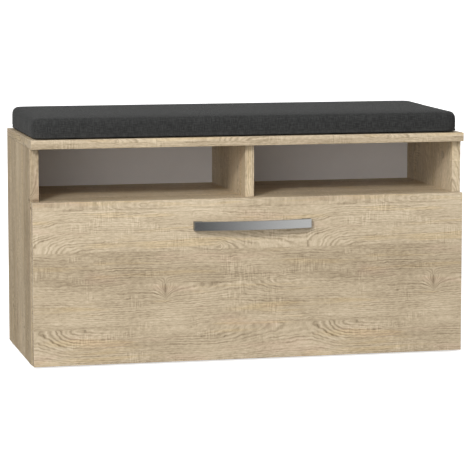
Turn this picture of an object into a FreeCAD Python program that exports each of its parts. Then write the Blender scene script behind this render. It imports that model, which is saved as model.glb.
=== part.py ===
import FreeCAD, Part
import os

# Entryway bench: a shoe bench of oak-decor chipboard with two open niches, one deep drawer on roller runners and a
# loose seat pad.
#
# Millimetres. X runs along the bench, Y from the front to the back, Z up. The origin is on the floor, under the
# middle of the whole bench with its handle. Every sub-part is written to parts/NAME.step.

V = FreeCAD.Vector
LEFT, RIGHT = -1, 1
X, Y, Z = V(1, 0, 0), V(0, 1, 0), V(0, 0, 1)

# Driving dimensions of the bench
WIDTH = 900.0
SIDE_DEPTH = 325.0
SIDE_HEIGHT = 436.0
BOARD = 18.0               # decor-faced chipboard
EDGE = 0.8                 # rounding of a banded board edge
NICHE_HEIGHT = 106.0
HDF = 3.0                  # back panel and drawer bottom
BACK_RECESS = 18.0         # from the rear edges to the face of the back panel
GLIDE_HEIGHT = 4.0
FRONT_GAP = 2.0            # between the drawer front and the carcass
FRONT_REVEAL = 1.5         # the drawer front stops short of each side of the bench

# Drawer
RUNNER_SPACE = 12.5        # the standard space of a roller runner, on each side
DRAWER_BOARD = 16.0
DRAWER_DEPTH = 300.0
DRAWER_HEIGHT = 216.0
DRAWER_BOTTOM_Z = 40.0     # lower edge of the drawer sides
BOTTOM_RISE = 10.0         # from there to the underside of the drawer bottom
GROOVE = 6.0               # depth of the grooves that hold the drawer bottom
SLOP = 0.1                 # clearance of a panel in its groove

# Handle
HANDLE_LENGTH = 244.0
HANDLE_HEIGHT = 18.0
HANDLE_REACH = 26.0        # how far the middle of the bow stands out
HANDLE_END = 12.0          # how far its ends stand out
HANDLE_THICK = 5.0
HANDLE_HOLES = 224.0       # screw spacing
HANDLE_Z = 280.0

# Roller runners
SHEET = 1.2
TRACK_Z = 34.0             # top of the lower track
TRACK_HEIGHT = 22.0        # clear height of the channel
ROLLER_R = 10.5
ROLLER_WIDTH = 6.0
ROLLER_BORE_R = 2.08
PIN_R = 2.0
RUNNER_LENGTH = 300.0

# Seat pad
PAD_LENGTH = 885.0
PAD_DEPTH = 326.0
PAD_HEIGHT = 42.0
PAD_X = -1.5               # the loose pad lies a little left of the middle
PAD_Y = 14.0
PAD_CORNER = 20.0
PAD_ROUND = 11.0
CLOTH = 1.2
TAPE = 1.0                 # thickness of one half of a hook-and-loop fastener
TAPE_LENGTH = 140.0
TAPE_WIDTH = 25.0

# Places worked out from them
FRONT_Y = -(BOARD + FRONT_GAP + SIDE_DEPTH - HANDLE_REACH) / 2
CARCASS_Y = FRONT_Y + BOARD + FRONT_GAP
BACK_Y = CARCASS_Y + SIDE_DEPTH
PANEL_Y = BACK_Y - BACK_RECESS
SIDE_IN = WIDTH / 2 - BOARD
SIDE_TOP = GLIDE_HEIGHT + SIDE_HEIGHT
TOP_Z = SIDE_TOP + BOARD
SHELF_TOP = SIDE_TOP - NICHE_HEIGHT
SHELF_Z = SHELF_TOP - BOARD
DRAWER_X = SIDE_IN - RUNNER_SPACE
DRAWER_IN = DRAWER_X - DRAWER_BOARD
DRAWER_Y = FRONT_Y + BOARD
DRAWER_BACK_Y = DRAWER_Y + DRAWER_DEPTH
DRAWER_TOP = DRAWER_BOTTOM_Z + DRAWER_HEIGHT
HDF_Z = DRAWER_BOTTOM_Z + BOTTOM_RISE

boards = {}
fittings = {}


# Plain shapes

def block(x, y, z):
    """A box between three (low, high) pairs."""
    return Part.makeBox(x[1] - x[0], y[1] - y[0], z[1] - z[0], V(x[0], y[0], z[0]))


def rod(radius, start, direction, length):
    return Part.makeCylinder(radius, length, start, direction)


def both_sides(solid):
    """The solid and its mirror image across the middle of the bench."""
    return [solid, solid.mirror(V(0, 0, 0), X)]


def eased(solid, wanted):
    """Rounds the edges whose bounding boxes pass the test."""
    return solid.makeFillet(EDGE, [edge for edge in solid.Edges if wanted(edge.BoundBox)])


def add(name, *solids):
    fittings.setdefault(name, []).extend(solids)


# Panels

def carcass_boards():
    full = (-WIDTH / 2, WIDTH / 2)
    inner = (-SIDE_IN, SIDE_IN)
    deep = (CARCASS_Y, PANEL_Y)
    top = block(full, (FRONT_Y, BACK_Y), (SIDE_TOP, TOP_Z))
    boards["top_panel"] = eased(top, lambda box: True)
    side = block((-WIDTH / 2, -SIDE_IN), (CARCASS_Y, BACK_Y), (GLIDE_HEIGHT, SIDE_TOP))
    side = eased(side, lambda box: box.ZMin < SIDE_TOP - 1)
    boards["left_side_panel"], boards["right_side_panel"] = both_sides(side)
    boards["niche_shelf"] = block(inner, deep, (SHELF_Z, SHELF_TOP))
    boards["bottom_panel"] = block(inner, deep, (GLIDE_HEIGHT, GLIDE_HEIGHT + BOARD))
    for name in ("niche_shelf", "bottom_panel"):
        boards[name] = eased(boards[name], lambda box: box.YMax < CARCASS_Y + 1 and box.XLength > 1)
    divider = block((-BOARD / 2, BOARD / 2), deep, (SHELF_TOP, SIDE_TOP))
    boards["niche_divider"] = eased(divider, lambda box: box.YMax < CARCASS_Y + 1 and box.ZLength > 1)


def back_panel():
    """A thin back panel that slides into grooves in the sides and the top."""
    depth = 8.0
    boards["back_panel"] = block((-SIDE_IN - depth, SIDE_IN + depth), (PANEL_Y, PANEL_Y + HDF),
                                 (GLIDE_HEIGHT, SIDE_TOP + depth))
    groove = block((-SIDE_IN - depth - 0.3, SIDE_IN + depth + 0.3), (PANEL_Y - SLOP, PANEL_Y + HDF + SLOP),
                   (0, SIDE_TOP + depth + 0.3))
    for name in ("left_side_panel", "right_side_panel", "top_panel"):
        boards[name] = boards[name].cut(groove)
    for z in (GLIDE_HEIGHT + BOARD / 2, SHELF_Z + BOARD / 2):
        for x in range(-375, 376, 150):
            nail(V(x, PANEL_Y + HDF, z), "niche_shelf" if z > SHELF_Z else "bottom_panel")


def nail(point, board):
    """A flat-headed nail through the back panel into the rear edge of a board."""
    shank = rod(0.7, point, -Y, 18)
    add("back_panel_nails", shank.fuse(rod(1.9, point, Y, 0.8)))
    bore = rod(0.75, point, -Y, 18.5)
    for name in ("back_panel", board):
        boards[name] = boards[name].cut(bore)


def drawer_boards():
    reach = WIDTH / 2 - FRONT_REVEAL
    front = block((-reach, reach), (FRONT_Y, DRAWER_Y), (GLIDE_HEIGHT, SHELF_TOP))
    boards["drawer_front"] = eased(front, lambda box: True)
    side = block((-DRAWER_X, -DRAWER_IN), (DRAWER_Y, DRAWER_BACK_Y), (DRAWER_BOTTOM_Z, DRAWER_TOP))
    side = eased(side, lambda box: box.ZMin > DRAWER_TOP - 1 and box.YLength > 1)
    boards["drawer_left_side"], boards["drawer_right_side"] = both_sides(side)
    back = block((-DRAWER_IN, DRAWER_IN), (DRAWER_BACK_Y - DRAWER_BOARD, DRAWER_BACK_Y), (HDF_Z + HDF, DRAWER_TOP))
    boards["drawer_back"] = eased(back, lambda box: box.ZMin > DRAWER_TOP - 1 and box.XLength > 1)


def drawer_bottom():
    """A thin bottom in grooves in the sides and the front, with a batten under its middle."""
    reach = DRAWER_IN + GROOVE
    front_end = DRAWER_Y - GROOVE
    boards["drawer_bottom"] = block((-reach + 0.3, reach - 0.3), (front_end + 0.3, DRAWER_BACK_Y),
                                    (HDF_Z, HDF_Z + HDF))
    groove = block((-reach, reach), (front_end, DRAWER_BACK_Y + 1), (HDF_Z - SLOP, HDF_Z + HDF))
    for name in ("drawer_left_side", "drawer_right_side", "drawer_front"):
        boards[name] = boards[name].cut(groove)
    boards["drawer_bottom_batten"] = block((-25, 25), (DRAWER_Y, DRAWER_BACK_Y), (HDF_Z - 16, HDF_Z))
    screw_y = DRAWER_BACK_Y - DRAWER_BOARD / 2
    for x in (-320, -160, 160, 320):
        wood_screw(V(x, screw_y, HDF_Z), Z, 16, "drawer_bottom_screws", "drawer_bottom", "drawer_back")
    wood_screw(V(0, screw_y, HDF_Z - 16), Z, 40, "drawer_bottom_screws", "drawer_bottom_batten", "drawer_bottom",
               "drawer_back")


# Fasteners. Each one cuts its own bores in the boards it joins.

def cross_recess(point, direction, size, depth):
    """A cross-shaped cutter for a driver, sunk into a head whose face is at the point."""
    across = X if abs(direction.x) < 0.5 else Y
    other = direction.cross(across)
    bars = []
    for along, wide in ((across, other), (other, across)):
        corner = point - along * size / 2 - wide * size / 8
        wire = Part.makePolygon([corner, corner + along * size, corner + along * size + wide * size / 4,
                                 corner + wide * size / 4, corner])
        bars.append(Part.Face(wire).extrude(direction * depth))
    return bars[0].fuse(bars[1])


def wood_screw(point, direction, length, group, *through):
    """A pan-head screw whose head sits on a face at the point."""
    shank = rod(1.75, point, direction, length)
    head = rod(3.5, point, -direction, 1.3).fuse(shank)
    add(group, head.cut(cross_recess(point - direction * 1.3, direction, 3.6, 0.9)))
    bore = rod(1.8, point, direction, length + 0.5)
    for name in through:
        boards[name] = boards[name].cut(bore)


def sunk_screw(point, direction, length, group, outer, inner):
    """A countersunk screw, flush with the face of the outer board, that runs on into the inner one."""
    cone = Part.makeCone(4.5, 2.5, 4.0, point, direction)
    screw = cone.fuse(rod(2.5, point, direction, length))
    add(group, screw.cut(cross_recess(point, direction, 4.4, 1.6)))
    bore = rod(2.55, point, direction, length + 0.5)
    boards[outer] = boards[outer].cut(bore.fuse(Part.makeCone(4.6, 2.5, 4.1, point, direction)))
    boards[inner] = boards[inner].cut(bore)


def dowel(joint, into, group, *joined):
    """A beech dowel, half on each side of the joint, with chamfered ends."""
    length = 30.0
    body = rod(3.95, joint - into * length / 2, into, length)
    ends = [edge for edge in body.Edges if len(edge.Vertexes) == 1]
    add(group, body.makeChamfer(0.7, ends))
    bore = rod(4.0, joint - into * (length / 2 + 1), into, length + 2)
    for name in joined:
        boards[name] = boards[name].cut(bore)


def cam_fitting(joint, into, face, thickness, edged, mate, prefix=""):
    """A cam in the face of the edged board pulls on a bolt screwed into the mating board.

    joint is on the mating face, at the middle of the edged board; into runs from there into the edged board, and
    face is the outward normal of the face that the cam is sunk into.
    """
    reach, cam_r, cam_depth = 34.0, 7.5, 12.5
    thread = rod(2.5, joint - into * 11, into, 11)
    shaft = rod(3.0, joint, into, reach - 6)
    neck = rod(1.8, joint + into * (reach - 6), into, 3.4)
    knob = Part.makeSphere(3.1, joint + into * (reach - 1.5))
    add(prefix + "cam_bolts", thread.fuse([shaft, neck, knob]))
    surface = joint + into * reach + face * thickness / 2
    slot = rod(4.0, joint, into, reach + 3)
    cam = rod(cam_r, surface, -face, cam_depth).cut(slot)
    cam = cam.cut(cross_recess(surface, -face, 8.0, 2.0))
    add(prefix + "cam_housings", cam)
    edge_bore = rod(4.0, joint, into, reach)
    cam_bore = rod(cam_r + 0.1, surface + face, -face, cam_depth + 1.5)
    boards[edged] = boards[edged].cut(edge_bore.fuse(cam_bore))
    boards[mate] = boards[mate].cut(rod(2.55, joint - into * 11.5, into, 11.5))
    return surface


def carcass_fasteners():
    front, rear = CARCASS_Y + 62, PANEL_Y - 50
    for hand, side in ((LEFT, "left_side_panel"), (RIGHT, "right_side_panel")):
        inward = X * -hand
        for y in (front, rear):
            head = V(hand * (SIDE_IN + BOARD / 2), y, SIDE_TOP)
            surface = cam_fitting(head, -Z, inward, BOARD, side, "top_panel")
            cap = rod(8.6, surface, inward, 1.0)
            add("cam_caps", eased(cap, lambda box: abs(box.Center.x) < SIDE_IN - 0.5))
            for z, name in ((SHELF_Z, "niche_shelf"), (GLIDE_HEIGHT, "bottom_panel")):
                cam_fitting(V(hand * SIDE_IN, y, z + BOARD / 2), inward, -Z, BOARD, name, side)
        for y in (front + 32, rear - 32):
            dowel(V(hand * (SIDE_IN + BOARD / 2), y, SIDE_TOP), Z, "wooden_dowels", "top_panel", side)
            for z, name in ((SHELF_Z, "niche_shelf"), (GLIDE_HEIGHT, "bottom_panel")):
                dowel(V(hand * (SIDE_IN + BOARD / 2 - 9), y, z + BOARD / 2), X, "wooden_dowels", name, side)
    for y in (front, rear):
        sunk_screw(V(0, y, SHELF_Z), Z, 50, "divider_screws", "niche_shelf", "niche_divider")
        dowel(V(0, y, SIDE_TOP), Z, "wooden_dowels", "top_panel", "niche_divider")
    dowel(V(0, (front + rear) / 2, SHELF_TOP), Z, "wooden_dowels", "niche_shelf", "niche_divider")


def drawer_fasteners():
    rear_y = DRAWER_BACK_Y - DRAWER_BOARD / 2
    for hand, side in ((LEFT, "drawer_left_side"), (RIGHT, "drawer_right_side")):
        middle = hand * (DRAWER_X - DRAWER_BOARD / 2)
        for z in (92.0, 220.0):
            cam_fitting(V(middle, DRAWER_Y, z), Y, X * hand, DRAWER_BOARD, side, "drawer_front", "drawer_")
            sunk_screw(V(hand * DRAWER_X, rear_y, z), X * -hand, 50, "drawer_box_screws", side, "drawer_back")
        for z in (130.0, 182.0):
            dowel(V(middle, DRAWER_Y, z), Y, "drawer_dowels", side, "drawer_front")
        dowel(V(hand * DRAWER_IN, rear_y, 156), X, "drawer_dowels", side, "drawer_back")
    dowel(V(0, DRAWER_Y, HDF_Z - 8), Y, "drawer_dowels", "drawer_bottom_batten", "drawer_front")


# Roller runners, modelled on the left and mirrored

CHANNEL_X = -SIDE_IN + SHEET                  # inner face of the cabinet runner's web
MEMBER_X = -DRAWER_X - SHEET                  # outer face of the drawer runner's web
FLANGE_Z = TRACK_Z + TRACK_HEIGHT + SHEET + 2.1
FRONT_AXIS = V(0, CARCASS_Y + 15, FLANGE_Z - 0.3 - ROLLER_R)
REAR_AXIS = V(0, DRAWER_BACK_Y - 9, TRACK_Z + 0.3 + ROLLER_R)
TRAVEL = 240.0


def cabinet_runner():
    y = (CARCASS_Y + 1, CARCASS_Y + 1 + RUNNER_LENGTH)
    z_low, z_high = TRACK_Z - SHEET, TRACK_Z + TRACK_HEIGHT + SHEET
    lip = MEMBER_X - 0.8
    cutaway = FRONT_AXIS.y + ROLLER_R + 4
    stop_y = REAR_AXIS.y - TRAVEL - ROLLER_R - 1.2
    runner = block((-SIDE_IN, CHANNEL_X), y, (z_low, z_high))
    runner = runner.fuse([block((CHANNEL_X, lip), y, (z_low, TRACK_Z)),
                          block((CHANNEL_X, lip), (cutaway, y[1]), (z_high - SHEET, z_high)),
                          block((CHANNEL_X, lip - 2), (stop_y - SHEET, stop_y), (TRACK_Z, TRACK_Z + 5))])
    return runner.removeSplitter()


def drawer_runner():
    y = (DRAWER_Y + 0.5, DRAWER_BACK_Y)
    runner = block((MEMBER_X, -DRAWER_X), y, (DRAWER_BOTTOM_Z - SHEET, FLANGE_Z + SHEET))
    runner = runner.fuse([block((MEMBER_X - 9.3, MEMBER_X), y, (FLANGE_Z, FLANGE_Z + SHEET)),
                          block((-DRAWER_X, -DRAWER_X + 14), y, (DRAWER_BOTTOM_Z - SHEET, DRAWER_BOTTOM_Z))])
    return runner.removeSplitter()


def roller(start, direction):
    """A plastic roller with a dished outer face."""
    wheel = rod(ROLLER_R, start, direction, ROLLER_WIDTH)
    rims = [edge for edge in wheel.Edges if len(edge.Vertexes) == 1]
    wheel = wheel.makeChamfer(0.5, rims)
    face = start + direction * (ROLLER_WIDTH - 1)
    dish = rod(8.6, face, direction, 2).cut(rod(4.6, face, direction, 2))
    return wheel.cut(dish).cut(rod(ROLLER_BORE_R, start - direction, direction, ROLLER_WIDTH + 2))


def roller_pin(start, direction, length):
    """A pin riveted through the web, with a head that keeps the roller on."""
    return rod(PIN_R, start, direction, length).fuse(rod(3.6, start + direction * length, direction, 1.2))


def runners():
    cabinet, member = cabinet_runner(), drawer_runner()
    front, rear = FRONT_AXIS, REAR_AXIS
    front_start = V(-SIDE_IN, front.y, front.z)
    rear_start = V(-DRAWER_X, rear.y, rear.z)
    cabinet = cabinet.cut(rod(PIN_R + 0.05, front_start, X, SHEET))
    member = member.cut(rod(PIN_R + 0.05, rear_start, -X, SHEET))
    web_gap = 0.5
    front_roller = roller(front_start + X * (SHEET + web_gap), X)
    rear_roller = roller(rear_start - X * (SHEET + web_gap), -X)
    pin_length = SHEET + web_gap + ROLLER_WIDTH + 0.3
    for index, hand in enumerate(("left", "right")):
        add(hand + "_front_roller", both_sides(front_roller)[index])
        add(hand + "_rear_roller", both_sides(rear_roller)[index])
    add("front_roller_pins", *both_sides(roller_pin(front_start, X, pin_length)))
    add("rear_roller_pins", *both_sides(roller_pin(rear_start, -X, pin_length)))
    boards["left_cabinet_runner"], boards["right_cabinet_runner"] = both_sides(cabinet)
    boards["left_drawer_runner"], boards["right_drawer_runner"] = both_sides(member)
    for hand, name in ((LEFT, "left"), (RIGHT, "right")):
        for y in (-85.0, 20.0, 125.0):
            wood_screw(V(-hand * CHANNEL_X, y, TRACK_Z + TRACK_HEIGHT / 2), X * hand, 13, "cabinet_runner_screws",
                       name + "_cabinet_runner", name + "_side_panel")
            flat_screw(V(-hand * MEMBER_X, y, DRAWER_BOTTOM_Z + 7), X * -hand, name)


def flat_screw(point, direction, hand):
    """A thin-headed screw that clears the rollers on the cabinet side."""
    add("drawer_runner_screws", rod(1.75, point, direction, 14).fuse(rod(3.2, point, -direction, 0.8)))
    bore = rod(1.8, point, direction, 14.5)
    for name in (hand + "_drawer_runner", "drawer_" + hand + "_side"):
        boards[name] = boards[name].cut(bore)


# Handle, bumpers, glides

def pull_handle():
    """A shallow bow with solid ends, cut from one profile in plan."""
    half, low = HANDLE_LENGTH / 2, HANDLE_Z - HANDLE_HEIGHT / 2
    sagitta = HANDLE_REACH - HANDLE_END
    radius = (half ** 2 + sagitta ** 2) / (2 * sagitta)
    leg_foot, leg_top = half - 18, half - 13
    inner_radius = radius - HANDLE_THICK
    leg_reach = HANDLE_REACH - radius + (inner_radius ** 2 - leg_top ** 2) ** 0.5

    def at(x, out):
        return V(x, FRONT_Y - out, low)

    outer = Part.Arc(at(-half, HANDLE_END), at(0, HANDLE_REACH), at(half, HANDLE_END)).toShape()
    inner = Part.Arc(at(leg_top, leg_reach), at(0, HANDLE_REACH - HANDLE_THICK), at(-leg_top, leg_reach)).toShape()
    right_leg = Part.makePolygon([at(half, HANDLE_END), at(half, 0), at(leg_foot, 0), at(leg_top, leg_reach)])
    left_leg = Part.makePolygon([at(-leg_top, leg_reach), at(-leg_foot, 0), at(-half, 0), at(-half, HANDLE_END)])
    outline = Part.Wire([outer] + right_leg.Edges + [inner] + left_leg.Edges)
    bow = Part.Face(outline).extrude(Z * HANDLE_HEIGHT)
    upright = [edge for edge in bow.Edges if edge.BoundBox.ZLength > HANDLE_HEIGHT - 1]
    crooks = [edge for edge in upright if abs(abs(edge.BoundBox.Center.x) - leg_top) < 0.5]
    bow = bow.makeFillet(4.0, crooks)
    corners = [edge for edge in bow.Edges if edge.BoundBox.ZLength > HANDLE_HEIGHT - 1
               and abs(edge.BoundBox.Center.x) > half - 0.5 and edge.BoundBox.Center.y < FRONT_Y - 1]
    bow = bow.makeFillet(1.0, corners)
    rims = [edge for edge in bow.Edges if edge.BoundBox.ZLength < 0.1 and edge.BoundBox.YMin < FRONT_Y - 1]
    bow = bow.makeFillet(0.6, rims)
    for hand in (LEFT, RIGHT):
        foot = V(hand * HANDLE_HOLES / 2, FRONT_Y, HANDLE_Z)
        bow = bow.cut(rod(2.05, foot, -Y, 9))
        boards["drawer_front"] = boards["drawer_front"].cut(rod(2.25, foot - Y, Y, BOARD + 2))
        head = V(foot.x, DRAWER_Y, HANDLE_Z)
        screw = rod(2.0, head, -Y, BOARD + 8).fuse(rod(4.0, head, Y, 2.4))
        add("handle_screws", screw.cut(cross_recess(head + Y * 2.4, -Y, 4.2, 1.4)))
    boards["pull_handle"] = bow


def bumpers_and_glides():
    for hand in (LEFT, RIGHT):
        edge_x = hand * (SIDE_IN + BOARD / 2)
        for z in (GLIDE_HEIGHT + 16, SHELF_TOP - 16):
            dot = rod(4.0, V(edge_x, DRAWER_Y, z), Y, FRONT_GAP - 0.3)
            rim = [edge for edge in dot.Edges if edge.BoundBox.YMin > DRAWER_Y + 1]
            add("front_bumpers", dot.makeFillet(0.8, rim))
        for y in (CARCASS_Y + 40, BACK_Y - 40):
            foot = rod(8.0, V(edge_x, y, 0), Z, GLIDE_HEIGHT)
            foot = foot.makeFillet(1.2, [edge for edge in foot.Edges if edge.BoundBox.ZMax < 1])
            add("floor_glides", foot.fuse(rod(1.2, V(edge_x, y, GLIDE_HEIGHT), Z, 14)))
            side = "left_side_panel" if hand == LEFT else "right_side_panel"
            boards[side] = boards[side].cut(rod(1.25, V(edge_x, y, GLIDE_HEIGHT), Z, 14.5))


# Seat pad

def rounded_slab(inset, low, high):
    """The outline of the pad, drawn in by an inset, with rounded corners and edges."""
    x_reach, y_reach = PAD_LENGTH / 2 - inset, PAD_DEPTH / 2 - inset
    slab = block((PAD_X - x_reach, PAD_X + x_reach), (PAD_Y - y_reach, PAD_Y + y_reach), (low, high))
    slab = slab.makeFillet(PAD_CORNER - inset, [edge for edge in slab.Edges if edge.BoundBox.ZLength > 1])
    return slab.makeFillet(PAD_ROUND - inset, [edge for edge in slab.Edges if edge.BoundBox.ZLength < 0.1])


def seat_pad():
    """Foam in a sewn cover with a separate base cloth, held by four strips of hook and loop."""
    low, high = TOP_Z + 2 * TAPE, TOP_Z + 2 * TAPE + PAD_HEIGHT
    outside, inside = rounded_slab(0, low, high), rounded_slab(CLOTH, low + CLOTH, high - CLOTH)
    x_reach, y_reach = PAD_LENGTH / 2 - PAD_ROUND, PAD_DEPTH / 2 - PAD_ROUND
    base = block((PAD_X - x_reach, PAD_X + x_reach), (PAD_Y - y_reach, PAD_Y + y_reach), (low, low + CLOTH))
    base = base.makeFillet(PAD_CORNER - PAD_ROUND, [edge for edge in base.Edges if edge.BoundBox.ZLength > 1])
    boards["cushion_cover"] = outside.cut(inside).cut(base)
    boards["cushion_base_cloth"] = base
    boards["foam_core"] = inside
    for x in (-300, 300):
        for y in (-90, 120):
            spot = ((PAD_X + x - TAPE_LENGTH / 2, PAD_X + x + TAPE_LENGTH / 2),
                    (y - TAPE_WIDTH / 2, y + TAPE_WIDTH / 2))
            add("hook_strips", block(*spot, (TOP_Z, TOP_Z + TAPE)))
            add("loop_strips", block(*spot, (TOP_Z + TAPE, TOP_Z + 2 * TAPE)))


def main():
    carcass_boards()
    back_panel()
    drawer_boards()
    drawer_bottom()
    carcass_fasteners()
    drawer_fasteners()
    runners()
    pull_handle()
    bumpers_and_glides()
    seat_pad()
    os.makedirs("parts", exist_ok=True)
    for name, solids in fittings.items():
        boards[name] = Part.makeCompound(solids) if len(solids) > 1 else solids[0]
    for name, shape in sorted(boards.items()):
        shape.exportStep("parts/" + name + ".step")
        box = shape.BoundBox
        print("%-22s solids %2d valid %s  x %.1f..%.1f  y %.1f..%.1f  z %.1f..%.1f" % (
            name, len(shape.Solids), shape.isValid(), box.XMin, box.XMax, box.YMin, box.YMax, box.ZMin, box.ZMax))


main()
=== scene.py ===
# %% [markdown]
# # An entryway bench in pale oak decor
# The bench is a flat-pack piece: faced chipboard boards, one deep drawer, a bow handle and a loose seat
# pad. Its boards, fittings and moving parts come from the CAD frame and stay as they are. This lesson
# gives each of them its finish, and models the one soft piece, the seat pad, with its seam and its hem.

# %% Load the frame
import math
import bmesh
import bpy
from mathutils import Matrix, Vector


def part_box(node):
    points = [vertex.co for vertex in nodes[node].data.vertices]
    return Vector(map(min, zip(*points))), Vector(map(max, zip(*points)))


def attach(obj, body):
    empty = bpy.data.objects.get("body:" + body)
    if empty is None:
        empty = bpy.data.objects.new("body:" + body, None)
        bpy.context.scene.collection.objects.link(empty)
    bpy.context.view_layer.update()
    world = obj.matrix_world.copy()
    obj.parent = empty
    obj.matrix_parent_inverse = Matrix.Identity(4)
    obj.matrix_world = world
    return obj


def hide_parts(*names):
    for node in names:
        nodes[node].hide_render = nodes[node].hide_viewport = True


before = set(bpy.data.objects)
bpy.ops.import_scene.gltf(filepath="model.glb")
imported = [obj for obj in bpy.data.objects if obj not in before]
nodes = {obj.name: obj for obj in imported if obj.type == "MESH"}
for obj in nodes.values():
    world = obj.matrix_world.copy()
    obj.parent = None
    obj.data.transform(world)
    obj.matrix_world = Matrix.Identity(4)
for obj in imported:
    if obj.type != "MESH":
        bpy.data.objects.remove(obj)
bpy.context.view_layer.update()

scene = bpy.context.scene

# %% [markdown]
# ## The camera
# The camera comes first, because every later choice is judged through it. It stands to the left of the
# bench, a little above it and far back, behind a long lens, so that the upright edges stay almost
# parallel.

# %% Camera
LENS = 178.32
SHIFT_UP = -0.05
CAMERA_PLACE = Vector((-1.1195, -4.7134, 0.8322))
TURN = math.radians(13.387)
TILT = math.radians(6.405)

camera = bpy.data.objects.new("camera", bpy.data.cameras.new("camera"))
camera.data.lens = LENS
camera.data.shift_y = SHIFT_UP
camera.data.clip_end = 200
camera.location = CAMERA_PLACE
camera.rotation_euler = (math.pi / 2 - TILT, 0, -TURN)
scene.collection.objects.link(camera)
scene.camera = camera

# %% [markdown]
# ## Light
# A catalogue picture of furniture is lit by one large soft box and a bright room. The soft box stands to
# the front left and above, so the right inner walls and the underside of the overhang fall into shade.
# The sky, set up below, gives the fill.

# %% Soft box
scene.view_settings.view_transform = "Standard"
KEY_FROM = Vector((-0.474, -0.737, 0.482)).normalized()
KEY_DISTANCE = 4.0
KEY_SIZE = 0.75
KEY_POWER = 72
KEY_AIM = Vector((0, 0, 0.25))

key = bpy.data.objects.new("soft_box", bpy.data.lights.new("soft_box", "AREA"))
key.data.shape = "DISK"
key.data.size = KEY_SIZE
key.data.energy = KEY_POWER
key.location = KEY_FROM * KEY_DISTANCE + KEY_AIM
key.rotation_mode = "QUATERNION"
key.rotation_quaternion = KEY_FROM.to_track_quat("Z", "Y")
scene.collection.objects.link(key)
print("soft box at", [round(v, 2) for v in key.location])

# %% [markdown]
# ## A shorthand for shader nodes
# Every finish here is a small graph. Wiring it by hand takes many lines, so this helper makes a node,
# sets its options and feeds its sockets in one call: a socket is linked, and a plain value is set on the
# socket itself.

# %% Wiring helper
class Graph:
    def __init__(self, tree):
        self.tree = tree
        tree.nodes.clear()

    def feed(self, socket, value):
        if isinstance(value, bpy.types.NodeSocket):
            self.tree.links.new(value, socket)
        else:
            socket.default_value = value

    def node(self, kind, inputs=None, **options):
        made = self.tree.nodes.new(kind)
        for name, value in options.items():
            setattr(made, name, value)
        for name, value in (inputs or {}).items():
            self.feed(made.inputs[name], value)
        return made

    def math(self, operation, *values, clamp=False):
        made = self.node("ShaderNodeMath", dict(enumerate(values)), operation=operation, use_clamp=clamp)
        return made.outputs[0]

    def point(self, x, y, z=0.0):
        return self.node("ShaderNodeCombineXYZ", {0: x, 1: y, 2: z}).outputs[0]

    def noise(self, vector, scale, detail=2.0, rough=0.5, distortion=0.0):
        made = self.node("ShaderNodeTexNoise", {"Vector": vector, "Scale": scale, "Detail": detail,
                                                "Roughness": rough, "Distortion": distortion})
        return made.outputs["Fac"]

    def span(self, value, low, high, to_low=0.0, to_high=1.0):
        made = self.node("ShaderNodeMapRange", {0: value, 1: low, 2: high, 3: to_low, 4: to_high},
                         interpolation_type="SMOOTHSTEP")
        return made.outputs[0]

    def blend(self, factor, a, b, kind="MIX"):
        made = self.node("ShaderNodeMix", {0: factor, 6: a, 7: b}, data_type="RGBA", blend_type=kind)
        return made.outputs[2]

    def pick(self, factor, a, b):
        return self.node("ShaderNodeMix", {0: factor, 2: a, 3: b}).outputs[0]


def rgb(*values):
    return (*values, 1.0)


def new_finish(name):
    finish = bpy.data.materials.new(name)
    finish.use_nodes = True
    return finish, Graph(finish.node_tree)


def surface(graph, color, roughness, height=None, bump=0.0002, **constants):
    """The Principled shader. Whatever is the same all over is set straight on its socket."""
    inputs = {"Base Color": color, "Roughness": roughness}
    if height is not None:
        relief = graph.node("ShaderNodeBump", {"Height": height, "Distance": bump, "Strength": 1.0})
        inputs["Normal"] = relief.outputs[0]
    inputs.update({name.replace("_", " "): value for name, value in constants.items()})
    shader = graph.node("ShaderNodeBsdfPrincipled", inputs)
    graph.node("ShaderNodeOutputMaterial", {"Surface": shader.outputs[0]})


def dress(finish, *names):
    for name in names:
        mesh = nodes[name].data
        mesh.materials.clear()
        mesh.materials.append(finish)

# %% [markdown]
# ## The bright room
# The world is the room round the bench, and it answers three kinds of ray. Diffuse rays meet the fill: an
# even level, more of it overhead, and a broad window at the front left. Glossy rays meet a room of their
# own, because what a polished handle mirrors matters as much as what lights it: dark on the left of the
# front, brighter towards the right, with one more window far left and some light overhead. The camera
# sees plain white.

# %% World
FILL_ALL_ROUND = 0.25
FILL_FROM_ABOVE = 0.60
FILL_FROM_FRONT = 2.40
FRONT_WINDOW = Vector((-0.60, -0.78, 0.15)).normalized()
WINDOW_EDGE = 6.0
MIRRORED_LEFT = 0.050
MIRRORED_RIGHT = 0.665
MIRRORED_FAR_LEFT = 0.5
MIRRORED_ABOVE = 0.4

world = bpy.data.worlds.new("studio")
world.use_nodes = True
scene.world = world
graph = Graph(world.node_tree)
direction = graph.node("ShaderNodeTexCoord").outputs["Generated"]
rays = graph.node("ShaderNodeLightPath").outputs
facing_window = graph.node("ShaderNodeVectorMath", {0: direction, 1: FRONT_WINDOW}, operation="DOT_PRODUCT")
window = graph.math("POWER", graph.math("MAXIMUM", facing_window.outputs["Value"], 0.0), WINDOW_EDGE)
fill = graph.math("MULTIPLY_ADD", window, FILL_FROM_FRONT, FILL_ALL_ROUND)
heading = graph.node("ShaderNodeSeparateXYZ", {0: direction}).outputs
upward = graph.math("MAXIMUM", heading[2], 0.0)
fill = graph.math("MULTIPLY_ADD", upward, FILL_FROM_ABOVE, fill)
left_to_right = graph.span(heading[0], -0.42, 0.80, MIRRORED_LEFT, MIRRORED_RIGHT)
far_left = graph.span(heading[0], -0.75, -0.35, MIRRORED_FAR_LEFT, 0.0)
room = graph.math("ADD", left_to_right, far_left)
room = graph.math("MULTIPLY_ADD", upward, MIRRORED_ABOVE, room)
brightness = graph.pick(rays["Is Glossy Ray"], fill, room)
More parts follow.
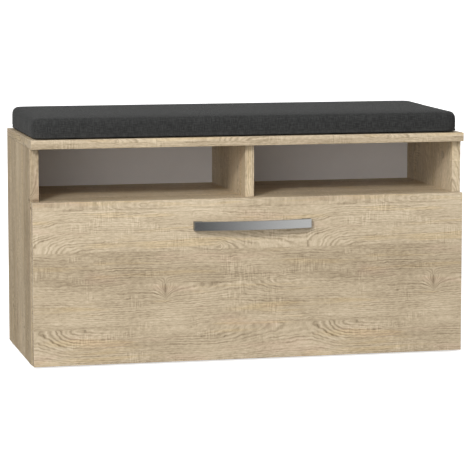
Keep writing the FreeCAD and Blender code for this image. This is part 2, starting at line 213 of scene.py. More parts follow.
brightness = graph.pick(rays["Is Camera Ray"], brightness, 1.0)
sky = graph.node("ShaderNodeBackground", {"Color": rgb(1, 1, 1), "Strength": brightness})
graph.node("ShaderNodeOutputWorld", {"Surface": sky.outputs[0]})
print("fill", FILL_ALL_ROUND, "all round, and up to", FILL_FROM_FRONT, "more from the front")

# %% [markdown]
# ## The floor
# A plain white floor, large enough to reach the horizon. It glows a little, as a lit studio sweep does,
# so it stays white around the bench and only the contact shadow shows. Bounced rays pass it by: they meet
# the fill of the world instead, so the glow of the floor can be set for the picture alone.

# %% Floor
FLOOR_REACH = 60
FLOOR_GLOW = 0.66
bm = bmesh.new()
bmesh.ops.create_circle(bm, cap_ends=True, radius=FLOOR_REACH, segments=64)
floor_mesh = bpy.data.meshes.new("floor")
bm.to_mesh(floor_mesh)
bm.free()
floor = bpy.data.objects.new("floor", floor_mesh)
scene.collection.objects.link(floor)
floor.visible_glossy = floor.visible_diffuse = False
white_sweep, graph = new_finish("white_sweep")
surface(graph, rgb(0.86, 0.86, 0.86), 0.9, Emission_Color=rgb(1, 1, 1), Emission_Strength=FLOOR_GLOW)
floor_mesh.materials.append(white_sweep)
print("floor", FLOOR_REACH, "m across from its middle")

# %% [markdown]
# ## The oak decor
# The boards are faced with printed decor paper that imitates rough-sawn pale oak. The print shows planks
# of uneven tone, growth rings that run along the board and open into arches, short fibres, a knot here
# and there and fine saw marks across the grain. A roller prints it, so the pattern comes round again
# along the board.
#
# The rings follow from how a plank is cut. A log's axis runs under the board at a changing depth, and
# each ring is a line of equal distance from that axis. Where the axis dips quickly, the lines bend into
# an arch. So the graph works out that distance and draws the rings from it, instead of stretching plain
# noise. Where the axis lies on the joint of two planks, only half of each arch is left.

# %% Planks of the decor
REPEAT = 0.567
STRIP = 0.330
STRIP_LOW = -0.014
# lower joint, place of the log's axis, where its arch starts along the board, strength of the arch, tone
PLANKS = (
    (-0.014, -0.004, -0.330, 0.50, 0.58),
    (0.004, 0.075, -0.440, 0.95, 0.54),
    (0.075, 0.168, -0.015, 0.60, 0.53),
    (0.164, 0.285, 0.120, 0.25, 0.44),
    (0.230, 0.230, -0.452, 1.00, 0.61),
)
print("decor:", len(PLANKS), "planks across", STRIP, "m, repeating every", REPEAT, "m")

# %% [markdown]
# The decor is a node group with two inputs, the place along the board and the place across it, in metres.
# To make the print repeat without a seam, the length of the board is wound round a circle before any
# noise reads it. Across the board a colour ramp with constant steps serves as a table: it gives each
# plank its own number.

# %% Graph of the decor
class DecorGraph(Graph):
    """A graph that reads a place on the board, and whose noises come round with the print."""

    def __init__(self, tree):
        super().__init__(tree)
        given = self.node("NodeGroupInput").outputs
        self.along, self.across = given["Along"], given["Across"]
        turn = self.math("MULTIPLY", self.along, 2 * math.pi / REPEAT)
        self.round_x = self.math("MULTIPLY", self.math("COSINE", turn), REPEAT / (2 * math.pi))
        self.round_y = self.math("MULTIPLY", self.math("SINE", turn), REPEAT / (2 * math.pi))
        self.strip = self.math("WRAP", self.across, STRIP_LOW + STRIP, STRIP_LOW)
        self.place = self.math("DIVIDE", self.math("SUBTRACT", self.strip, STRIP_LOW), STRIP)

    def print_noise(self, along_scale, across_scale, detail=2.0, shift=0.0, rough=0.5, line=None):
        """Noise that comes round with the print. Its marks are about 1/scale long and wide."""
        line = self.across if line is None else line
        level = self.math("MULTIPLY_ADD", line, across_scale / along_scale, shift)
        return self.noise(self.point(self.round_x, self.round_y, level), along_scale, detail, rough)

    def by_plank(self, column):
        """A step function across the planks. column() reads a number from 0 to 1 from a plank's row."""
        ramp = self.node("ShaderNodeValToRGB", {0: self.place})
        ramp.color_ramp.interpolation = "CONSTANT"
        stops = ramp.color_ramp.elements
        while len(stops) < len(PLANKS):
            stops.new(1.0)
        for stop, plank in zip(stops, PLANKS):
            stop.position = (plank[0] - STRIP_LOW) / STRIP
            stop.color = rgb(*[column(plank)] * 3)
        return self.node("ShaderNodeSeparateColor", {0: ramp.outputs[0]}).outputs[0]

    def bell(self, value):
        """exp(-value squared): 1 in the middle, fading to 0 on both sides."""
        return self.math("EXPONENT", self.math("MULTIPLY", self.math("MULTIPLY", value, value), -1.0))

# %% [markdown]
# First the distance from the log's axis. The depth of the axis changes from one arch round to the next
# along a curve, so a Float Curve node holds it. Two noises then make the rings waver, one slowly and one
# quickly.

# %% Distance from the log's axis
ARCH_DEPTH = 0.037
LEAST_DEPTH = 0.003
SLOW_WAVER = 0.011
QUICK_WAVER = 0.0042
DIP = ((0.0, 1.0), (0.045, 0.80), (0.10, 0.44), (0.16, 0.16), (0.24, 0.07), (0.5, 0.05), (0.64, 0.24),
       (0.80, 0.72), (0.93, 0.97), (1.0, 1.0))


def waver(g, along_scale, across_scale, shift, most):
    """A noise in metres, as far above nought as below it."""
    return g.math("MULTIPLY_ADD", g.print_noise(along_scale, across_scale, 2, shift=shift), most, -most / 2)


def distance_from_axis(g):
    """The distance in metres. What later layers need too is kept on the graph: arch, off, way and quick."""
    axis = g.by_plank(lambda plank: (plank[1] - STRIP_LOW) / STRIP)
    start = g.by_plank(lambda plank: (plank[2] / REPEAT) % 1)
    g.arch = g.by_plank(lambda plank: plank[3])
    g.off = g.math("MULTIPLY", g.math("SUBTRACT", g.place, axis), STRIP)
    g.way = g.math("FRACT", g.math("SUBTRACT", g.math("DIVIDE", g.along, REPEAT), start))
    dip = g.node("ShaderNodeFloatCurve", {"Value": g.way})
    curve = dip.mapping.curves[0]
    curve.points[0].location, curve.points[1].location = DIP[0], DIP[-1]
    for point in DIP[1:-1]:
        curve.points.new(*point)
    dip.mapping.update()
    depth = g.math("MULTIPLY_ADD", g.math("MULTIPLY", dip.outputs[0], g.arch), ARCH_DEPTH, LEAST_DEPTH)
    reach = g.math("SQRT", g.math("ADD", g.math("MULTIPLY", g.off, g.off), g.math("MULTIPLY", depth, depth)))
    g.quick = waver(g, 70, 150, 2.2, QUICK_WAVER)
    return g.math("ADD", g.math("ADD", reach, waver(g, 11, 34, 7.7, SLOW_WAVER)), g.quick)


print("log axis", LEAST_DEPTH * 1000, "to", (LEAST_DEPTH + ARCH_DEPTH) * 1000, "mm under the face")

# %% [markdown]
# A knot pushes the rings off their course, most at its middle and less with distance, and its heart may
# be dark. The same falloff serves for all three: how far the rings move, how clearly they show, and the
# dark heart.

# %% Knots
# place along and across, width, height, how far it pushes the rings off the axis, and how dark it is
KNOTS = ((-0.180, 0.152, 0.008, 0.020, 0.024, 0.5), (-0.066, 0.238, 0.013, 0.011, 0.009, 0.0))


def add_knots(g, ring):
    """Returns the rings pushed aside, how near a knot is, and the darkness of the hearts."""
    near_knot = hearts = 0.0
    for knot_along, knot_across, width, height, push, dark in KNOTS:
        nearest = g.math("WRAP", g.along, knot_along + REPEAT / 2, knot_along - REPEAT / 2)
        gap = g.math("ABSOLUTE", g.math("SUBTRACT", nearest, knot_along))
        beside = g.math("EXPONENT", g.math("DIVIDE", gap, -width))
        level = g.math("DIVIDE", g.math("SUBTRACT", g.strip, knot_across), height)
        pull = g.math("MULTIPLY", beside, g.bell(level))
        ring = g.math("MULTIPLY_ADD", pull, -push, ring)
        near_knot = g.math("MAXIMUM", g.math("POWER", pull, 0.22), near_knot)
        hearts = g.math("MULTIPLY_ADD", g.math("POWER", pull, 3.0), dark, hearts)
    return ring, near_knot, hearts


print("knots:", len(KNOTS), "in each repeat")

# %% [markdown]
# Now the rings themselves. Late wood is a thin dark line in each year's growth, so a cosine is raised to
# a power. The pitch is nearly even, but some years are darker than others. The rings show strongly round
# an arch and at a knot, and only in patches elsewhere.

# %% Growth rings
RING_PITCH = 0.0044
LATE_WOOD = 1.6
PAPER_TONE = 0.22


def growth_rings(g, ring, near_knot):
    per_plank = g.math("MULTIPLY", g.arch, 3.0)
    uneven = g.noise(g.point(ring, per_plank, 0.0), 90.0, 1.0)
    count = g.math("MULTIPLY_ADD", uneven, 1.6, g.math("DIVIDE", ring, RING_PITCH))
    wave = g.math("COSINE", g.math("MULTIPLY", count, 2 * math.pi))
    late = g.math("POWER", g.math("MULTIPLY_ADD", wave, 0.5, 0.5), LATE_WOOD)
    darkness = g.noise(g.point(ring, per_plank, 4.0), 160.0, 1.0)
    rings = g.math("MULTIPLY", late, g.span(darkness, 0.34, 0.62, 0.35, 1.0))
    at_start = g.span(g.way, 0.10, 0.45, 1.0, 0.0)
    at_axis = g.span(g.math("ABSOLUTE", g.off), 0.028, 0.05, 1, 0)
    by_arch = g.math("MULTIPLY", g.math("MULTIPLY", at_start, at_axis), g.arch)
    patchy = g.span(g.print_noise(8, 40, 2, shift=1.3), 0.40, 0.60, 0.22, 0.78)
    contrast = g.math("MAXIMUM", by_arch, g.math("MAXIMUM", patchy, near_knot))
    return g.math("MULTIPLY", g.math("SUBTRACT", PAPER_TONE, rings), contrast)


print("rings", RING_PITCH * 1000, "mm apart")

# %% [markdown]
# Over the rings lie short fibres that follow them, saw marks across the grain where the saw bit, slow
# changes of tone, and the dark joints between the planks, which waver a little and fade here and there.

# %% Saw marks and joints
JOINT_WIDTH = 0.0017


def saw_marks(g):
    saw = g.noise(g.point(g.along, g.math("MULTIPLY", g.across, 0.10), 0.0), 340.0, 1.0)
    bitten = g.span(g.print_noise(15, 30, 2, shift=12.0), 0.52, 0.66)
    return g.math("MULTIPLY", g.math("SUBTRACT", g.span(saw, 0.35, 0.65), 0.4), bitten)


def plank_joints(g):
    joint = g.by_plank(lambda plank: (plank[0] - STRIP_LOW) / STRIP)
    wavy = g.math("MULTIPLY", g.quick, 0.6)
    from_joint = g.math("MULTIPLY_ADD", g.math("SUBTRACT", g.place, joint), STRIP, wavy)
    line = g.bell(g.math("DIVIDE", from_joint, JOINT_WIDTH))
    return g.math("MULTIPLY", line, g.span(g.print_noise(9, 9, 1, shift=44.0), 0.36, 0.56))


# %% [markdown]
# All layers are added up to one value, each with its own weight. Noise is taken from its middle, so that
# it darkens as much as it lightens. A ramp turns the value into the printer's inks, and two faint tints,
# one honey and one rosy, lie over it in broad streaks.

# %% Layers and inks
RINGS_SHOW = 0.54
FIBRES_SHOW = 0.98
HAIRS_SHOW = 0.36
SAW_SHOWS = 0.28
MOTTLE_SHOWS = 0.56
CLOUDS_SHOW = 0.34
JOINTS_SHOW = -0.24
DARKEST_INK = rgb(0.210, 0.155, 0.092)
DARK_INK = rgb(0.385, 0.305, 0.202)
LIGHT_INK = rgb(0.508, 0.412, 0.284)
LIGHTEST_INK = rgb(0.665, 0.560, 0.408)
HONEY = rgb(1.03, 0.995, 0.90)
ROSY = rgb(1.01, 0.975, 0.99)


def decor_value(g, marks):
    """The lightness of the print, from 0 to 1, out of all its layers. marks are the saw marks."""
    ring, near_knot, hearts = add_knots(g, distance_from_axis(g))
    tone = g.by_plank(lambda plank: plank[4])
    value = g.math("MULTIPLY_ADD", growth_rings(g, ring, near_knot), RINGS_SHOW, tone)
    for layer, shows in (
        (g.print_noise(100, 400, 3, shift=5.5, rough=0.65, line=ring), FIBRES_SHOW),
        (g.print_noise(34, 640, 2, shift=9.1, line=ring), HAIRS_SHOW),
        (g.print_noise(8, 42, 3, shift=20.0), MOTTLE_SHOWS),
        (g.print_noise(5, 9, 2, shift=27.0), CLOUDS_SHOW),
    ):
        value = g.math("MULTIPLY_ADD", g.math("SUBTRACT", layer, 0.5), shows, value)
    value = g.math("MULTIPLY_ADD", marks, SAW_SHOWS, value)
    value = g.math("MULTIPLY_ADD", plank_joints(g), JOINTS_SHOW, value)
    return g.math("SUBTRACT", value, hearts, clamp=True)


def decor_color(g, value):
    ramp = g.node("ShaderNodeValToRGB", {0: value})
    ramp.color_ramp.elements[0].color = DARKEST_INK
    ramp.color_ramp.elements[1].color = LIGHTEST_INK
    for position, ink in ((0.35, DARK_INK), (0.62, LIGHT_INK)):
        ramp.color_ramp.elements.new(position).color = ink
    honey = g.span(g.print_noise(5, 75, 2, shift=31.0), 0.56, 0.70)
    rosy = g.span(g.print_noise(7, 34, 2, shift=38.0), 0.56, 0.70)
    tinted = g.blend(honey, ramp.outputs[0], HONEY, "MULTIPLY")
    return g.blend(rosy, tinted, ROSY, "MULTIPLY")


print("inks", [[round(channel, 2) for channel in ink[:3]] for ink in (DARKEST_INK, LIGHTEST_INK)])

# %% [markdown]
# The pieces of the graph come together in one node group, so that all the boards share it.

# %% Oak decor group
def oak_group():
    """A node group from (Along, Across), in metres on the board, to the print's colour and height."""
    tree = bpy.data.node_groups.new("oak_decor", "ShaderNodeTree")
    for name in ("Along", "Across"):
        tree.interface.new_socket(name, in_out="INPUT", socket_type="NodeSocketFloat")
    tree.interface.new_socket("Color", in_out="OUTPUT", socket_type="NodeSocketColor")
    tree.interface.new_socket("Height", in_out="OUTPUT", socket_type="NodeSocketFloat")
    g = DecorGraph(tree)
    marks = saw_marks(g)
    value = decor_value(g, marks)
    height = g.math("MULTIPLY_ADD", marks, 0.5, value)
    g.node("NodeGroupOutput", {"Color": decor_color(g, value), "Height": height})
    return tree


oak_decor = oak_group()
print("oak decor:", len(oak_decor.nodes), "nodes")

# %% [markdown]
# ## Boards in that decor
# The same print runs along the top, the shelf and the drawer front, and upwards on the sides and the
# divider. Each face needs two directions in its own plane. Adding the two short coordinates carries the
# print round an edge without a break, and only the ends of a board, told by their normals, turn it.
#
# The rear edges of the carcass boards are left raw on such a bench, so there the chips of the core show.

# %% Oak finish
FACES = 0.72    # a normal's part along an axis, from which a face counts as facing that way


def chipboard(graph, place):
    cells = graph.node("ShaderNodeTexVoronoi", {"Vector": place, "Scale": 420.0}, feature="F1")
    chips = graph.node("ShaderNodeSeparateColor", {0: cells.outputs["Color"]}).outputs[0]
    fine = graph.noise(place, 900.0, 2.0)
    value = graph.math("MULTIPLY_ADD", fine, 0.35, graph.math("MULTIPLY", chips, 0.65))
    ramp = graph.node("ShaderNodeValToRGB", {0: value})
    ramp.color_ramp.elements[0].color = rgb(0.20, 0.125, 0.065)
    ramp.color_ramp.elements[1].color = rgb(0.56, 0.42, 0.26)
    return ramp.outputs[0]


def oak_finish(name, grain, raw_rear=False, shift=(0.0, 0.0), band=1.0, tint_and_painted_light=(1.0, 1.0, 1.0)):
    """grain is the axis the print runs along, band the lightness of the front edging, and the last argument a
    whole-board tint: painted light on the niche boards, painted shade and a warmer tone on the left side.
    """
    finish, graph = new_finish(name)
    coords = graph.node("ShaderNodeTexCoord").outputs
    at = graph.node("ShaderNodeSeparateXYZ", {0: coords["Object"]}).outputs
    facing = graph.node("ShaderNodeSeparateXYZ", {0: coords["Normal"]}).outputs
    if grain == "x":
        long_way, short_way = at[0], graph.math("ADD", at[1], at[2])
        end_along, end_across, end_facing = at[1], at[2], facing[0]
    else:
        long_way, short_way = at[2], graph.math("ADD", at[0], at[1])
        end_along, end_across, end_facing = at[1], at[0], facing[2]
    at_end = graph.math("GREATER_THAN", graph.math("ABSOLUTE", end_facing), FACES)
    along = graph.math("ADD", graph.pick(at_end, long_way, end_along), shift[0])
    across = graph.math("ADD", graph.pick(at_end, short_way, end_across), shift[1])
    decor = graph.node("ShaderNodeGroup", node_tree=oak_decor)
    graph.feed(decor.inputs["Along"], along)
    graph.feed(decor.inputs["Across"], across)
    # painted light and painted shade: the whole-board tint lightens or darkens a board to stand for the light
    # it gets
    color = graph.blend(1.0, decor.outputs["Color"], rgb(*tint_and_painted_light), "MULTIPLY")
    if band != 1.0:
        front = graph.math("LESS_THAN", facing[1], -FACES)
        color = graph.blend(front, color, rgb(band, band, band), "MULTIPLY")
    if raw_rear:
        rear = graph.math("GREATER_THAN", facing[1], FACES)
        color = graph.blend(rear, color, chipboard(graph, coords["Object"]))
    sheen_break = graph.noise(coords["Object"], 35.0, 3.0)
    roughness = graph.span(sheen_break, 0.3, 0.7, 0.46, 0.62)
    surface(graph, color, roughness, decor.outputs["Height"], 0.00012, Specular_IOR_Level=0.35)
    return finish


front_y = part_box("drawer_front")[0].y
dress(oak_finish("oak_drawer_front", "x", shift=(0.0, -front_y)), "drawer_front")
dress(oak_finish("oak_top", "x", True, (0.21, 0.270), 1.04), "top_panel")
# painted light: the shelf's tint lightens it so the shaded niches read brighter
dress(oak_finish("oak_shelf", "x", True, (0.09, 0.307), tint_and_painted_light=(1.13, 1.13, 1.12)), "niche_shelf")
dress(oak_finish("oak_bottom", "x", True, (0.33, 0.507)), "bottom_panel")
# painted shade and a warmer tone: the left side's tint darkens it against the extra light it mirrors from the
# left
dress(oak_finish("oak_left_side", "z", True, (0.05, 0.731), 0.88, (0.945, 0.925, 0.89)), "left_side_panel")
# painted light: the right side's and the divider's tints lighten them so the shaded niches read brighter
dress(oak_finish("oak_right_side", "z", True, (0.18, 0.271), 0.98, (1.04, 1.04, 1.04)), "right_side_panel")
dress(oak_finish("oak_divider", "z", True, (0.40, 0.155), 1.02, (1.08, 1.08, 1.08)), "niche_divider")
print("boards in oak decor: 7")

# %% [markdown]
# ## White boards and hardboard
# The drawer box is white melamine board, with a fine pearl that catches the light. The back panel and the
# drawer bottom are thin hardboard, lacquered white on the face that shows and brown and fibrous on the
# other. Which face is which follows from the normal, so one finish serves both sheets.

# %% White boards
def melamine():
    finish, graph = new_finish("white_melamine")
    place = graph.node("ShaderNodeTexCoord").outputs["Object"]
    pearl = graph.noise(place, 1500.0, 2.0)
    cloud = graph.noise(place, 6.0, 3.0)
    color = graph.blend(graph.span(cloud, 0.3, 0.7), rgb(0.74, 0.74, 0.73), rgb(0.79, 0.79, 0.785))
    surface(graph, color, graph.span(pearl, 0.3, 0.7, 0.38, 0.52), pearl, 0.00004)
    return finish


def hardboard(name, white_axis, white_sign):
    finish, graph = new_finish(name)
    coords = graph.node("ShaderNodeTexCoord").outputs
    facing = graph.node("ShaderNodeSeparateXYZ", {0: coords["Normal"]}).outputs[white_axis]
    white_side = graph.math("GREATER_THAN", graph.math("MULTIPLY", facing, white_sign), 0.5)
    fibre = graph.noise(coords["Object"], 700.0, 4.0, 0.65)
    patch = graph.noise(coords["Object"], 9.0, 3.0)
    brown = graph.blend(graph.span(fibre, 0.35, 0.65), rgb(0.16, 0.092, 0.048), rgb(0.33, 0.21, 0.12))
    white = graph.blend(graph.span(patch, 0.3, 0.7), rgb(0.84, 0.82, 0.82), rgb(0.89, 0.87, 0.87))
    surface(graph, graph.blend(white_side, brown, white), graph.pick(white_side, 0.85, 0.5),
            fibre, 0.00006)
    return finish


dress(melamine(), "drawer_left_side", "drawer_right_side", "drawer_back")
dress(hardboard("back_hardboard", 1, -1), "back_panel")
dress(hardboard("bottom_hardboard", 2, 1), "drawer_bottom")
print("white boards: 5")

# %% [markdown]
# ## Metal
# The handle is cast zinc, plated and brushed along its length, so its grain is a noise stretched along x
# that disturbs the roughness and the relief. Its narrow faces are rougher, and their colour is a painted
# reflection: dark, as if they mirrored a dark room. The fittings are bright zinc plate with a faint cloud,
# and the runners are steel with white enamel, rubbed along the tracks.

# %% Metal finishes
def brushed(name, light, stretch, roughness, scale=2600.0, edges=None):
    """edges, where given, is the dark colour of the narrow faces, a painted reflection of a dark room; they
    are rougher too.
    """
    finish, graph = new_finish(name)
    coords = graph.node("ShaderNodeTexCoord").outputs
    place = coords["Object"]
    lay = graph.node("ShaderNodeMapping", {"Vector": place, "Scale": stretch}, vector_type="POINT").outputs[0]
    hair = graph.noise(lay, scale, 2.0)
    cloud = graph.noise(place, 60.0, 2.0)
    dark = [channel * 0.95 for channel in light]
    color = graph.blend(graph.span(hair, 0.3, 0.7), rgb(*dark), rgb(*light))
    scratched = graph.span(hair, 0.3, 0.7, roughness - 0.04, roughness + 0.02)
    rough = graph.math("MULTIPLY_ADD", cloud, 0.08, scratched)
    if edges is not None:
        facing = graph.node("ShaderNodeSeparateXYZ", {0: coords["Normal"]}).outputs
        narrow = graph.span(graph.math("ABSOLUTE", facing[1]), 0.75, 0.93, 1.0, 0.0)
        # painted reflection: the narrow faces are coloured dark, as if they mirrored a dark room
        color = graph.blend(narrow, color, rgb(*edges))
        rough = graph.pick(narrow, rough, 0.45)
    surface(graph, color, rough, hair, 0.000001, Metallic=1.0)
    return finish


def enamel():
    finish, graph = new_finish("runner_enamel")
    place = graph.node("ShaderNodeTexCoord").outputs["Object"]
    peel = graph.noise(place, 700.0, 2.0)
    lay = graph.node("ShaderNodeMapping", {"Vector": place, "Scale": (9.0, 0.4, 9.0)}).outputs[0]
    rub = graph.span(graph.noise(lay, 60.0, 3.0), 0.55, 0.75)
    color = graph.blend(rub, rgb(0.76, 0.76, 0.75), rgb(0.60, 0.60, 0.60))
    surface(graph, color, graph.pick(rub, 0.32, 0.5), peel, 0.00005)
    return finish


# the dark colour given for the handle's narrow faces is a painted reflection
nickel = brushed("brushed_nickel", (0.74, 0.745, 0.735), (0.02, 1.0, 1.0), 0.15, edges=(0.22, 0.22, 0.21))
dress(nickel, "pull_handle")
fittings = ["cam_housings", "cam_bolts", "drawer_cam_housings", "drawer_cam_bolts", "divider_screws",
            "drawer_box_screws", "drawer_bottom_screws", "cabinet_runner_screws", "drawer_runner_screws",
            "handle_screws", "front_roller_pins", "rear_roller_pins", "back_panel_nails"]
dress(brushed("zinc_plate", (0.66, 0.67, 0.69), (1.0, 1.0, 1.0), 0.33, 900.0), *fittings)
dress(enamel(), "left_cabinet_runner", "right_cabinet_runner", "left_drawer_runner", "right_drawer_runner")
print("metal nodes:", 1 + len(fittings) + 4)

# %% [markdown]
# ## Plastic, dowels and tape
# Small parts need little, but not a flat colour: a moulded skin on the rollers, glides and caps, end
# grain on the beech dowels, and the pile of the hook-and-loop strips.

# %% Small parts
def moulded(name, color, roughness, clear=0.0):
    finish, graph = new_finish(name)
    place = graph.node("ShaderNodeTexCoord").outputs["Object"]
    skin = graph.noise(place, 1800.0, 2.0)
    cloud = graph.noise(place, 90.0, 2.0)
    darker = [channel * 0.88 for channel in color]
    mixed = graph.blend(graph.span(cloud, 0.35, 0.65), rgb(*darker), rgb(*color))
    surface(graph, mixed, graph.span(skin, 0.3, 0.7, roughness - 0.06, roughness + 0.06), skin, 0.00003,
            Transmission_Weight=clear)
    return finish


def plain_wood(name, dark, light, stretch):
    finish, graph = new_finish(name)
    place = graph.node("ShaderNodeTexCoord").outputs["Object"]
    lay = graph.node("ShaderNodeMapping", {"Vector": place, "Scale": stretch}).outputs[0]
    grain = graph.noise(lay, 380.0, 4.0, 0.6)
    color = graph.blend(graph.span(grain, 0.3, 0.7), rgb(*dark), rgb(*light))
    surface(graph, color, 0.6, grain, 0.0001)
    return finish


def pile(name, color, scale):
    finish, graph = new_finish(name)
    place = graph.node("ShaderNodeTexCoord").outputs["Object"]
    tufts = graph.node("ShaderNodeTexVoronoi", {"Vector": place, "Scale": scale}).outputs["Distance"]
    lighter = [channel * 2.2 for channel in color]
    mixed = graph.blend(graph.span(tufts, 0.1, 0.6), rgb(*lighter), rgb(*color))
    surface(graph, mixed, 0.9, tufts, 0.0004, Sheen_Weight=0.3, Sheen_Roughness=0.4)
    return finish


dress(moulded("roller_nylon", (0.80, 0.80, 0.77), 0.35), "left_front_roller", "right_front_roller",
      "left_rear_roller", "right_rear_roller")
dress(moulded("glide_plastic", (0.78, 0.78, 0.77), 0.4), "floor_glides")
dress(moulded("cap_plastic", (0.44, 0.355, 0.25), 0.5), "cam_caps")
dress(moulded("bumper_gel", (0.85, 0.86, 0.87), 0.25, clear=0.7), "front_bumpers")
dress(plain_wood("beech", (0.42, 0.27, 0.15), (0.56, 0.38, 0.23), (0.3, 1.0, 0.3)), "wooden_dowels",
      "drawer_dowels")
dress(plain_wood("pine", (0.50, 0.33, 0.17), (0.66, 0.48, 0.28), (1.0, 0.06, 1.0)), "drawer_bottom_batten")
dress(pile("hook_pile", (0.010, 0.010, 0.011), 1100.0), "hook_strips")
dress(pile("loop_pile", (0.014, 0.014, 0.015), 700.0), "loop_strips")
print("small parts dressed: 11")

# %% [markdown]
# ## The seat pad
# The pad is a slab of firm foam in a sewn cover. It's made as cloth is: a plain form, a millimetre lower
# than the frame's solid at its front and three higher at its rear, is remeshed evenly and blown up
# against its own weave. How far each point moves is levelled off, so that the result stays a flat pad
# with only a slight crown. The seam and the hem are pressed in afterwards, because remeshing would erase
# them.

# %% Blank for the pad
FRONT_CORNER = 0.022
REAR_CORNER = 0.024
PAD_TOP_EDGE = 0.0135
PAD_BASE_EDGE = 0.002
PAD_SAG = 0.001
PAD_RISE = 0.0040
pad_low, pad_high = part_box("cushion_cover")
pad_size = pad_high - pad_low
pad_middle = (pad_low + pad_high) / 2


def to_object(bm, name):
    mesh = bpy.data.meshes.new(name)
    bm.to_mesh(mesh)
    bm.free()
    made = bpy.data.objects.new(name, mesh)
    scene.collection.objects.link(made)
    return made


def bevel(bm, edges, width, segments):
    bmesh.ops.bevel(bm, geom=edges, offset=width, affect="EDGES", segments=segments, profile=0.5, material=-1)


def rim(bm, z):
    """The edges round the flat face at a height."""
    return [e for e in bm.edges if all(abs(v.co.z - z) < 1e-5 for v in e.verts)
            and abs(e.link_faces[0].normal.z - e.link_faces[1].normal.z) > 0.5]


def pad_blank(low, high):
    """A box, rounded at its upright corners, then round its rims. Its top rises a little towards the rear."""
    bm = bmesh.new()
    bmesh.ops.create_cube(bm, size=1.0)
    bmesh.ops.scale(bm, vec=high - low, verts=bm.verts)
    bmesh.ops.translate(bm, vec=(low + high) / 2, verts=bm.verts)
    for radius, side_y in ((FRONT_CORNER, low.y), (REAR_CORNER, high.y)):
        corners = [e for e in bm.edges if abs(e.verts[0].co.z - e.verts[1].co.z) > 0.001
                   and abs(e.verts[0].co.y - side_y) < 0.001]
        bevel(bm, corners, radius, 8)
    bevel(bm, rim(bm, high.z), PAD_TOP_EDGE, 6)
    bevel(bm, rim(bm, low.z), PAD_BASE_EDGE, 3)
    for v in bm.verts:
        if v.co.z > (low.z + high.z) / 2:
            v.co.z += PAD_RISE * (v.co.y - low.y) / (high.y - low.y)
    return to_object(bm, "seat_cushion_cover")


cushion = pad_blank(pad_low, pad_high - Vector((0, 0, PAD_SAG)))
print("blank", [round(v * 1000) for v in cushion.dimensions], "mm")

# %% [markdown]
# To blow the blank up, the remeshed copy becomes cloth under pressure for twenty frames. A vertex group
# says how firmly each point is sewn: the base is fixed, the rims and the corners hardly move, and the
# middle swells. Once the shape is taken from the simulation, no cloth is left on the piece.

# %% Blow it up
VOXEL = 0.0053
SETTLE_FRAMES = 20
CROWN = 0.0030
BULGE = 0.0012
BASE_HELD = 0.008
RIM_HELD = 0.022
CORNER_HELD = 0.060
NEARLY_FIXED = 0.8
PRESSURE = 4.0


def apply_modifiers(piece):
    bpy.context.view_layer.update()
    graph_now = bpy.context.evaluated_depsgraph_get()
    result = bpy.data.meshes.new_from_object(piece.evaluated_get(graph_now))
    old = piece.data
    piece.modifiers.clear()
    piece.data = result
    bpy.data.meshes.remove(old)


def hold(p):
    """How firmly a point is sewn: the base is fixed, rims and corners nearly so, the rest is free."""
    side = pad_size.y / 2 - abs(p.y - pad_middle.y)
    end = pad_size.x / 2 - abs(p.x - pad_middle.x)
    if p.z < pad_low.z + BASE_HELD:
        return 1.0
    corner = 1.0 - math.hypot(side, end) / CORNER_HELD
    at_rim = 1.0 - min(side, end) / RIM_HELD if p.z > pad_middle.z else 0.0
    return max(NEARLY_FIXED * corner, NEARLY_FIXED * at_rim, 0.0)


def inflate(piece):
    """Cloth under pressure, stepped frame by frame. A point's travel levels off towards CROWN or BULGE."""
    held = piece.vertex_groups.new(name="held")
    for v in piece.data.vertices:
        held.add([v.index], hold(v.co), "REPLACE")
    start = [v.co.copy() for v in piece.data.vertices]
    cloth = piece.modifiers.new("cloth", "CLOTH")
    cloth.settings.vertex_group_mass = "held"
    cloth.settings.use_pressure = True
    cloth.settings.uniform_pressure_force = PRESSURE
    cloth.settings.effector_weights.gravity = 0.0
    cloth.settings.tension_stiffness = 40
    cloth.settings.bending_stiffness = 4
    cloth.point_cache.frame_start, cloth.point_cache.frame_end = 1, SETTLE_FRAMES
    for step in range(1, SETTLE_FRAMES + 1):
        scene.frame_set(step)
    apply_modifiers(piece)
    scene.frame_set(1)
    most = 0.0
    for v, was in zip(piece.data.vertices, start):
        move = v.co - was
        most = max(most, move.length)
        if move.length > 1e-6:
            limit = CROWN if move.z > 0.5 * move.length else BULGE
            v.co = was + move.normalized() * limit * (1 - math.exp(-move.length / limit))
    piece.vertex_groups.clear()
    return most


remesh = cushion.modifiers.new("remesh", "REMESH")
remesh.mode = "VOXEL"
remesh.voxel_size = VOXEL
apply_modifiers(cushion)
print("cloth moved up to", round(inflate(cushion) * 1000, 1), "mm before it was levelled off")
print("pad mesh:", len(cushion.data.polygons), "faces")

# %% [markdown]
# The swollen pad now gets what a maker's hand leaves: a soft ripple along the sides where the cover is
# eased round the foam, the seam where the cover meets its base cloth, and below it a hem that stands out
# a little where the pad lies on the bench. A last pass holds it near the space that the frame keeps for
# it, so its underside lies flat.

# %% Seam, hem and fit
SIDE_FROM = 0.014
LEAN_FROM = 0.030
RIPPLE = 0.0005
SEAM_UP = 0.0065
SEAM_DEEP = 0.0006
SEAM_WIDE = 0.0016
HEM_OUT = 0.0015
HEM_HIGH = 0.0035


def nearest_side(p):
    """How far a point is inside the nearest of the pad's four sides."""
    return min(pad_size.x / 2 - abs(p.x - pad_middle.x), pad_size.y / 2 - abs(p.y - pad_middle.y))


def outwards(p):
    """The level direction away from the pad, square to a side and turning round a corner."""
    reach_x = max(abs(p.x - pad_middle.x) - (pad_size.x / 2 - LEAN_FROM), 0.0)
    reach_y = max(abs(p.y - pad_middle.y) - (pad_size.y / 2 - LEAN_FROM), 0.0)
    return Vector((math.copysign(reach_x, p.x - pad_middle.x),
                   math.copysign(reach_y, p.y - pad_middle.y), 0.0)).normalized()


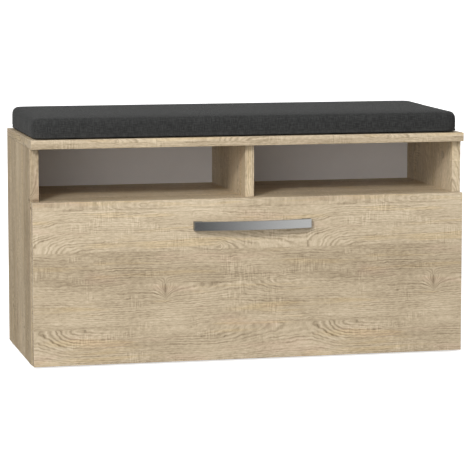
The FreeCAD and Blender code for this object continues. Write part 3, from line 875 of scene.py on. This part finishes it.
def ripple(p):
    height = min(max((p.z - pad_low.z) / pad_size.z, 0), 1)
    return RIPPLE * math.sin(p.x * 61 + p.y * 83) * math.sin(math.pi * height)


def seam(p):
    return SEAM_DEEP * math.exp(-((p.z - pad_low.z - SEAM_UP) / SEAM_WIDE) ** 2)


def hem(p):
    return HEM_OUT * math.exp(-((p.z - pad_low.z) / HEM_HIGH) ** 2)


def shape_pad(piece):
    smooth = piece.modifiers.new("subdivision", "SUBSURF")
    smooth.levels = smooth.render_levels = 1
    apply_modifiers(piece)
    for v in piece.data.vertices:
        p = v.co
        if nearest_side(p) < SIDE_FROM:
            p += outwards(p) * (ripple(p) - seam(p) + hem(p))
        p.x = min(max(p.x, pad_low.x - BULGE), pad_high.x + BULGE)
        p.y = min(max(p.y, pad_low.y - BULGE), pad_high.y + BULGE)
        p.z = min(max(p.z, pad_low.z), pad_high.z + PAD_RISE + CROWN)
    for polygon in piece.data.polygons:
        polygon.use_smooth = True


shape_pad(cushion)
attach(cushion, "seat_cushion")
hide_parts("cushion_cover", "foam_core", "cushion_base_cloth")
print("pad", [round(v * 1000, 1) for v in cushion.dimensions], "mm")

# %% [markdown]
# ## The cloth
# The cover is a coarse charcoal weave of mixed yarns. Two sets of threads cross at right angles, so the
# relief is one wave along the face and one across it, over and under in turn. The yarns themselves
# differ, which gives the heather: a noise stretched along each thread. Cloth seen along its surface looks
# paler, and sheen gives that.

# %% Woven finish
THREAD = 0.0012


def woven(name, dark, light, sheen):
    finish, graph = new_finish(name)
    coords = graph.node("ShaderNodeTexCoord").outputs
    at = graph.node("ShaderNodeSeparateXYZ", {0: coords["Object"]}).outputs
    facing = graph.node("ShaderNodeSeparateXYZ", {0: coords["Normal"]}).outputs
    on_end = graph.math("GREATER_THAN", graph.math("ABSOLUTE", facing[0]), 0.7)
    on_top = graph.math("GREATER_THAN", graph.math("ABSOLUTE", facing[2]), 0.7)
    warp = graph.pick(on_end, at[0], at[1])
    weft = graph.pick(on_top, at[2], at[1])
    turn = math.pi / THREAD
    over = graph.math("SINE", graph.math("MULTIPLY", warp, turn))
    under = graph.math("SINE", graph.math("MULTIPLY", weft, turn))
    weave = graph.math("MULTIPLY_ADD", graph.math("MULTIPLY", over, under), 0.5, 0.5)
    warp_yarn = graph.noise(graph.point(warp, graph.math("MULTIPLY", weft, 0.12)), 620.0, 2.0)
    weft_yarn = graph.noise(graph.point(graph.math("MULTIPLY", warp, 0.12), weft, 3.0), 620.0, 2.0)
    heather = graph.span(graph.math("ADD", warp_yarn, weft_yarn), 0.78, 1.26)
    wear = graph.noise(coords["Object"], 14.0, 3.0)
    color = graph.blend(heather, rgb(*dark), rgb(*light))
    color = graph.blend(graph.span(wear, 0.3, 0.7, 0.0, 0.12), color, rgb(*light))
    height = graph.math("MULTIPLY_ADD", heather, 0.4, weave)
    surface(graph, color, 0.92, height, 0.00035, Sheen_Weight=sheen, Sheen_Roughness=0.35,
            Sheen_Tint=rgb(0.75, 0.76, 0.74), Specular_IOR_Level=0.2)
    return finish


charcoal_weave = woven("charcoal_weave", (0.0208, 0.0210, 0.0206), (0.0425, 0.0428, 0.0418), 0.08)
cushion.data.materials.clear()
cushion.data.materials.append(charcoal_weave)
print("thread spacing", THREAD * 1000, "mm")
